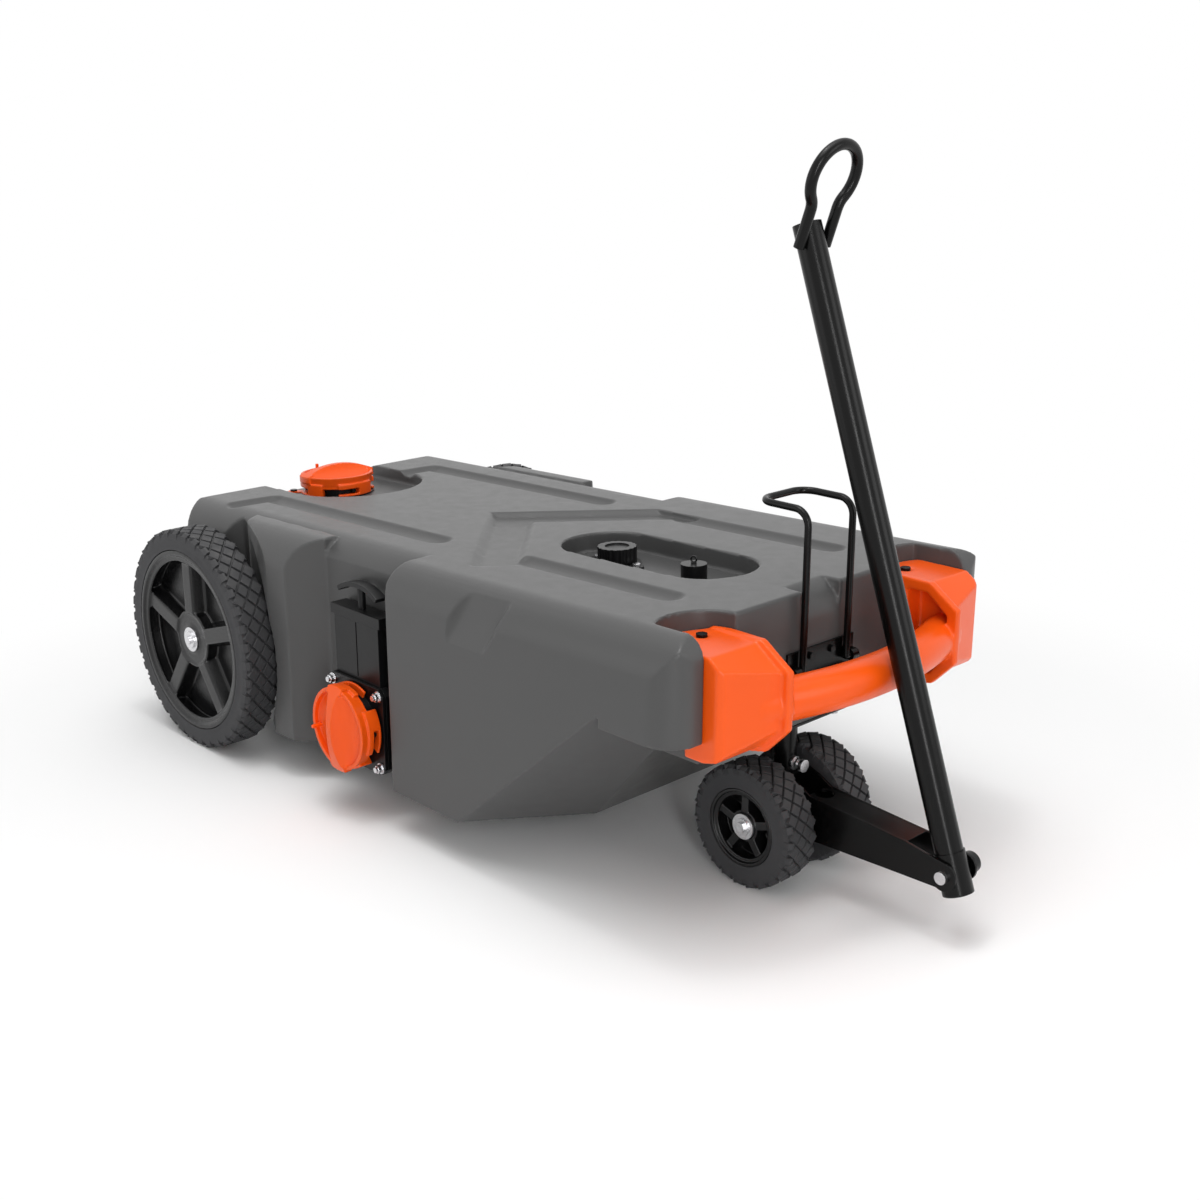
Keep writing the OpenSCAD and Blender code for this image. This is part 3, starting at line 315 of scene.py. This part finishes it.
def make_ring_group():
    """Copies of the input block in rows about Z: rows, count, pitch, a turn between rows, material."""
    g = bpy.data.node_groups.new("ring_rows", "GeometryNodeTree")
    g.is_modifier = True
    add = g.interface.new_socket
    add(name="Block", in_out="INPUT", socket_type="NodeSocketGeometry")
    for label, kind, value in (("Count", "NodeSocketInt", 40), ("Rows", "NodeSocketInt", 1),
                               ("Pitch", "NodeSocketFloat", 0.01), ("Stagger", "NodeSocketFloat", 0.5),
                               ("Middle", "NodeSocketFloat", 0.0)):
        add(name=label, in_out="INPUT", socket_type=kind).default_value = value
    add(name="Material", in_out="INPUT", socket_type="NodeSocketMaterial")
    add(name="Geometry", in_out="OUTPUT", socket_type="NodeSocketGeometry")
    gi, go = g.nodes.new("NodeGroupInput"), g.nodes.new("NodeGroupOutput")
    link = g.links.new

    def math_node(op, a, b=None):
        n = g.nodes.new("ShaderNodeMath")
        n.operation = op
        for k, v in enumerate((a, b)):
            if v is None:
                continue
            if isinstance(v, (int, float)):
                n.inputs[k].default_value = v
            else:
                link(v, n.inputs[k])
        return n.outputs[0]

    total = math_node("MULTIPLY", gi.outputs["Count"], gi.outputs["Rows"])
    line = g.nodes.new("GeometryNodeMeshLine")
    line.inputs["Offset"].default_value = (0, 0, 0)
    link(total, line.inputs["Count"])
    index = g.nodes.new("GeometryNodeInputIndex").outputs[0]
    row = math_node("FLOOR", math_node("DIVIDE", index, gi.outputs["Count"]))
    step = math_node("DIVIDE", 2 * math.pi, gi.outputs["Count"])
    shifted = math_node("ADD", index, math_node("MULTIPLY", row, gi.outputs["Stagger"]))
    turn = math_node("MULTIPLY", step, shifted)
    centre = math_node("MULTIPLY", math_node("SUBTRACT", gi.outputs["Rows"], 1.0), 0.5)
    high = math_node("ADD", math_node("MULTIPLY", math_node("SUBTRACT", row, centre), gi.outputs["Pitch"]),
                     gi.outputs["Middle"])
    place_xyz = g.nodes.new("ShaderNodeCombineXYZ")
    link(high, place_xyz.inputs["Z"])
    setp = g.nodes.new("GeometryNodeSetPosition")
    link(line.outputs[0], setp.inputs["Geometry"])
    link(place_xyz.outputs[0], setp.inputs["Position"])
    rot = g.nodes.new("ShaderNodeCombineXYZ")
    link(turn, rot.inputs["Z"])
    inst = g.nodes.new("GeometryNodeInstanceOnPoints")
    link(setp.outputs[0], inst.inputs["Points"])
    link(gi.outputs["Block"], inst.inputs["Instance"])
    link(rot.outputs[0], inst.inputs["Rotation"])
    real = g.nodes.new("GeometryNodeRealizeInstances")
    link(inst.outputs[0], real.inputs[0])
    setm = g.nodes.new("GeometryNodeSetMaterial")
    link(real.outputs[0], setm.inputs["Geometry"])
    link(gi.outputs["Material"], setm.inputs["Material"])
    link(setm.outputs[0], go.inputs[0])
    return g


RING = make_ring_group()


def ring(block, mat, **values):
    """Runs the ring group on a block and keeps the result as plain mesh."""
    mod = block.modifiers.new("ring", "NODES")
    mod.node_group = RING
    ids = {i.name: i.identifier for i in RING.interface.items_tree
           if i.item_type == "SOCKET" and i.in_out == "INPUT"}
    for k, v in values.items():
        mod[ids[k]] = v
    mod[ids["Material"]] = mat
    dg = bpy.context.evaluated_depsgraph_get()
    block.update_tag()
    bpy.context.view_layer.update()
    me = bpy.data.meshes.new_from_object(block.evaluated_get(dg))
    block.modifiers.clear()
    block.data = me
    return block


def block_mesh(name, outline, r_low, r_top, shrink=0.8):
    """A tread block: an outline (around, across) pulled from r_low to r_top, drawn in at the top."""
    n = len(outline)
    cy = sum(o[0] for o in outline) / n
    cz = sum(o[1] for o in outline) / n
    verts = []
    for r, k in ((r_low, 1.0), (r_top - 0.0008, 0.5 + 0.5 * shrink), (r_top, shrink)):
        verts += [(r, cy + (y - cy) * k, cz + (z - cz) * k) for y, z in outline]
    faces = [tuple(range(n))[::-1], tuple(range(2 * n, 3 * n))]
    for lvl in (0, 1):
        for i in range(n):
            j = (i + 1) % n
            faces.append((lvl * n + i, lvl * n + j, (lvl + 1) * n + j, (lvl + 1) * n + i))
    return mesh_object(name, verts, faces)


TREAD_DEPTH = 0.0035


def tyre_piece(node_name, side, x, track, r, w, bead, count, shoulder_r):
    """Tyre with a diamond tread and shoulder lugs, in place of the plain CAD tyre."""
    body = BODY_OF[node_name]
    # rb is the casing under the blocks, e the rounding of the shoulder
    rb = r - TREAD_DEPTH
    e = shoulder_r
    prof = [(bead + 0.0005, 0.0), (bead + 0.003, 0.0), (bead + 0.006, -0.0012), (r - e - 0.004, 0.0),
            (r - e, -0.0006), (r - e * 0.55, -e * 0.22), (rb - 0.001, -e * 0.62), (rb, -e),
            (rb, -w + e), (rb - 0.001, -w + e * 0.62), (r - e * 0.55, -w + e * 0.22), (r - e, -w + 0.0006),
            (r - e - 0.004, -w), (bead + 0.006, -w + 0.0012), (bead + 0.003, -w), (bead + 0.0005, -w)]
    base = lathe(node_name + "_tread", prof[::-1], 160, M_TYRE, 40)
    arc = 2 * math.pi * r / count
    rows = 4
    pitch = (w - 1.1 * e) / rows
    # Half the channel between two blocks, wider on the rear wheels
    gap = 0.0016 if r > 0.1 else 0.0012
    ha, hb = arc / 2 - gap, pitch - gap
    diamond = [(-ha, 0), (0, -hb), (ha, 0), (0, hb)]
    pieces = [base]
    d = block_mesh("tread_diamond", diamond, rb - 0.002, r, 0.9)
    pieces.append(ring(d, M_TYRE, Count=count, Rows=rows, Pitch=pitch, Stagger=0.5, Middle=-w / 2))
    lug_w = arc / 2 - gap
    for face in (1, -1):
        z0 = 0 if face > 0 else -w
        zs = -face
        outline = [(rb - e * 0.9, z0 + zs * 0.0002), (r - e * 0.45, z0 + zs * e * 0.05),
                   (r - 0.0006, z0 + zs * e * 0.45), (r - 0.0002, z0 + zs * e * 0.75),
                   (rb - 0.003, z0 + zs * e * 0.8), (rb - e * 0.7, z0 + zs * e * 0.4)]
        verts = [(a, -lug_w / 2, b) for a, b in outline] + [(a, lug_w / 2, b) for a, b in outline]
        n = len(outline)
        faces = [tuple(range(n)), tuple(range(2 * n - 1, n - 1, -1))]
        faces += [(i, n + i, n + (i + 1) % n, (i + 1) % n) for i in range(n)]
        lug = mesh_object("tread_lug", verts, faces)
        if face > 0:
            lug.data.flip_normals()
        pieces.append(ring(lug, M_TYRE, Count=count, Rows=1, Pitch=0.0, Stagger=0.0, Middle=0.0))
    ob = join(node_name + "_tread", pieces)
    outwards = Matrix.Rotation(-side * math.pi / 2, 4, "X")
    set_mesh_place(ob, Matrix.Translation((x - MID_X, side * track / 2, r)) @ outwards)
    smooth_by_angle(ob.data, 35)
    return place(ob, body, M_TYRE, node_name)


moulded("tank_shell", M_TANK, 0.002, 2, hollow=True, keep=0.16)
moulded("front_handle", M_ORANGE, 0.0018, 4)
moulded("drain_cap", M_ORANGE, 0.0008, 3)
moulded("inlet_cap", M_ORANGE, 0.0008, 3)
moulded("pull_handle", M_BLACK, 0.0008, 3)
for side, tag in ((-1, "right"), (1, "left")):
    tyre_piece("rear_tyre_" + tag, side, 0.0, 0.6088, 0.1524, 0.052, 0.125, 38, 0.010)
    tyre_piece("front_tyre_" + tag, side, 0.802, 0.148, 0.0731, 0.048, 0.046, 24, 0.009)
    moulded("rear_hub_" + tag, M_HUB, 0.0016, 4)
    moulded("front_hub_" + tag, M_HUB, 0.0009, 3)


# Camera, light and floor

cam_data = bpy.data.cameras.new("camera")
cam = bpy.data.objects.new("camera", cam_data)
scene.collection.objects.link(cam)
# Place, tilt, turn and lens as solved from the photograph
cam.location = (1.8658 - MID_X, -1.3108, 0.8502)
cam.rotation_euler = (math.radians(90 - 17.39), 0, math.radians(46.25))
cam_data.lens = 47.5026
cam_data.sensor_width = 36
cam_data.clip_end = 50
scene.camera = cam

world = bpy.data.worlds.new("studio")
scene.world = world
world.use_nodes = True
wt = world.node_tree
wt.nodes.clear()
wo = wt.nodes.new("ShaderNodeOutputWorld")
wm = wt.nodes.new("ShaderNodeMixShader")
wl = wt.nodes.new("ShaderNodeLightPath")
amb = node(wt, "ShaderNodeBackground")
amb.inputs[0].default_value = (1, 1, 1, 1)
amb.inputs[1].default_value = 0.35
white = node(wt, "ShaderNodeBackground")
white.inputs[0].default_value = (1, 1, 1, 1)
white.inputs[1].default_value = 1.0
sees = node(wt, "ShaderNodeMath", operation="MAXIMUM")
seen = node(wt, "ShaderNodeMath", operation="MAXIMUM")
wt.links.new(wl.outputs["Is Camera Ray"], sees.inputs[0])
wt.links.new(wl.outputs["Is Glossy Ray"], sees.inputs[1])
wt.links.new(sees.outputs[0], seen.inputs[0])
wt.links.new(wl.outputs["Is Transmission Ray"], seen.inputs[1])
wt.links.new(seen.outputs[0], wm.inputs[0])
wt.links.new(amb.outputs[0], wm.inputs[1])
wt.links.new(white.outputs[0], wm.inputs[2])
wt.links.new(wm.outputs[0], wo.inputs[0])


def area(name, loc, target, size, power, size_y=None):
    d = bpy.data.lights.new(name, "AREA")
    d.energy = power
    d.size = size
    if size_y:
        d.shape = "RECTANGLE"
        d.size_y = size_y
    o = bpy.data.objects.new(name, d)
    o.location = loc
    o.rotation_euler = (Vector(target) - Vector(loc)).to_track_quat("-Z", "Y").to_euler()
    scene.collection.objects.link(o)
    return o


# Name, place and target in metres, size, power in watts and, for a strip, its height
area("key", (0.2, -0.5, 2.6), (0, 0, 0.2), 1.8, 22)
area("spark", (0.1, -0.35, 2.4), (0, 0, 0.2), 0.35, 6)
area("fill_front", (2.4, -1.6, 0.85), (0, 0, 0.25), 0.35, 22, 1.7)
area("fill_right", (-1.4, -2.6, 0.9), (0, 0, 0.2), 1.8, 7)
area("rim_front", (3.0, 0.8, 1.4), (0.2, 0, 0.3), 1.4, 14)

sun_data = bpy.data.lights.new("sky_wash", "SUN")
sun_data.energy = 0.75
sun_data.angle = math.radians(70)
sun = bpy.data.objects.new("sky_wash", sun_data)
scene.collection.objects.link(sun)

bpy.ops.mesh.primitive_plane_add(size=16, location=(0, 0, 0))
floor = bpy.context.object
floor.name = "studio_floor"
fm = bpy.data.materials.new("studio_floor_paint")
fm.use_nodes = True
ft = fm.node_tree
fp = ft.nodes["Principled BSDF"]
fp.inputs["Base Color"].default_value = (0.96, 0.96, 0.96, 1)
fp.inputs["Roughness"].default_value = 0.95
fp.inputs["Specular IOR Level"].default_value = 0.1
glow = node(ft, "ShaderNodeEmission")
glow.inputs[0].default_value = (1, 1, 1, 1)
fmix = node(ft, "ShaderNodeMixShader")
fco = node(ft, "ShaderNodeTexCoord")
flen = node(ft, "ShaderNodeVectorMath", operation="LENGTH")
ffade = node(ft, "ShaderNodeMapRange", i_1=0.6, i_2=1.15, interpolation_type="SMOOTHSTEP")
ft.links.new(fco.outputs["Object"], flen.inputs[0])
ft.links.new(flen.outputs["Value"], ffade.inputs["Value"])
ft.links.new(ffade.outputs["Result"], fmix.inputs[0])
ft.links.new(fp.outputs[0], fmix.inputs[1])
ft.links.new(glow.outputs[0], fmix.inputs[2])
ft.links.new(fmix.outputs[0], ft.nodes["Material Output"].inputs[0])
floor.data.materials.append(fm)

scene.view_settings.view_transform = "Standard"
scene.view_settings.look = "None"
scene.view_settings.exposure = 0
scene.view_settings.gamma = 1
